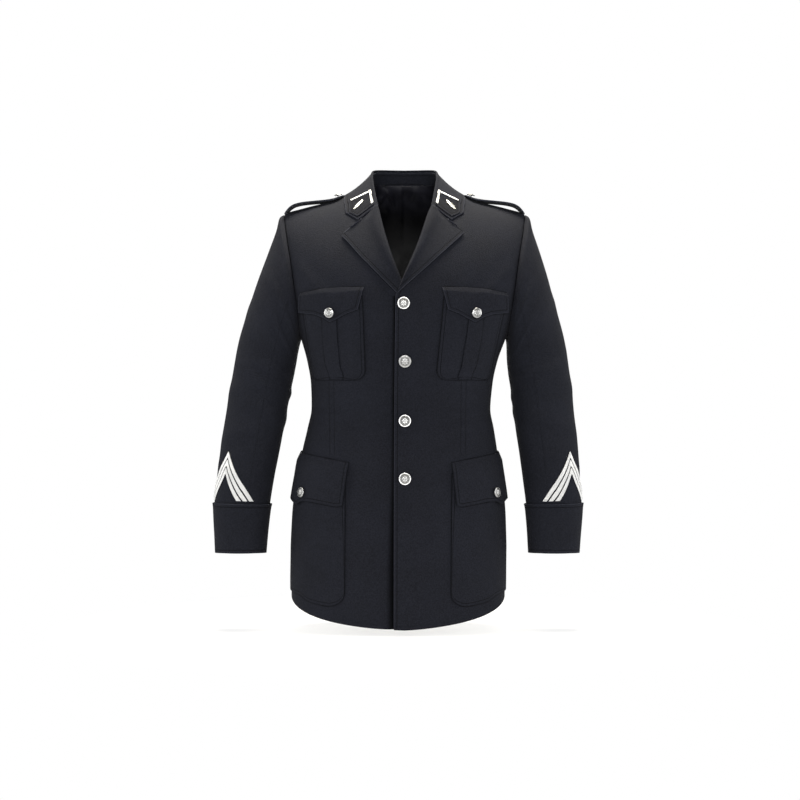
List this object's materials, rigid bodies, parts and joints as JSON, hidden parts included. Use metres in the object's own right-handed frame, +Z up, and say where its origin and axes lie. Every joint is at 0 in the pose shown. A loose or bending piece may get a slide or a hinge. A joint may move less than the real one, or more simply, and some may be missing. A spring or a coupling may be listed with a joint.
{
  "type": "uniform tunic",
  "caption": "Dark wool uniform tunic worn open at the neck with a notch lapel, patch pockets, shoulder straps, turned-back cuffs with braid chevrons and silver buttons.",
  "frame": {"origin": "base of the neck, on the wearer's own axis, where the wearer's shoulders carry the tunic", "axes": "+Z up along the wearer, -Y the way the front faces, +X the wearer's left"},
  "size_m": [0.6703, 0.2581, 0.83],
  "materials": {
    "wool": "midnight blue-black wool serge",
    "patch": "black felt",
    "lining": "dark satin lining",
    "braid": "white woven braid",
    "silver": "silver-coloured metal, satin"
  },
  "bodies": {
    "root": {"front_left": "wool", "back_left": "wool", "lapel_left": "wool", "top_sleeve_left": "wool", "undersleeve_left": "wool", "cuff_left": "wool", "chest_pocket_left": "wool", "chest_pleat_left": "wool", "chest_flap_left": "wool", "hip_pocket_left": "wool", "hip_flap_left": "wool", "shoulder_strap_left": "wool", "chest_button_left": "silver", "hip_button_left": "silver", "strap_button_left": "silver", "collar_leaf_left": "silver", "collar_patch_left": "patch", "collar_bar_left": "braid", "collar_cord_left": "braid", "chevron_left_1": "braid", "chevron_left_2": "braid", "chevron_left_3": "braid", "front_right": "wool", "back_right": "wool", "lapel_right": "wool", "top_sleeve_right": "wool", "undersleeve_right": "wool", "cuff_right": "wool", "chest_pocket_right": "wool", "chest_pleat_right": "wool", "chest_flap_right": "wool", "hip_pocket_right": "wool", "hip_flap_right": "wool", "shoulder_strap_right": "wool", "chest_button_right": "silver", "hip_button_right": "silver", "strap_button_right": "silver", "collar_leaf_right": "silver", "collar_patch_right": "patch", "collar_bar_right": "braid", "collar_cord_right": "braid", "chevron_right_1": "braid", "chevron_right_2": "braid", "chevron_right_3": "braid", "collar_stand": "wool", "collar_fall": "wool", "back_lining": "lining", "front_button_1": "silver", "front_button_2": "silver", "front_button_3": "silver", "front_button_4": "silver"}
  },
  "joints": []
}
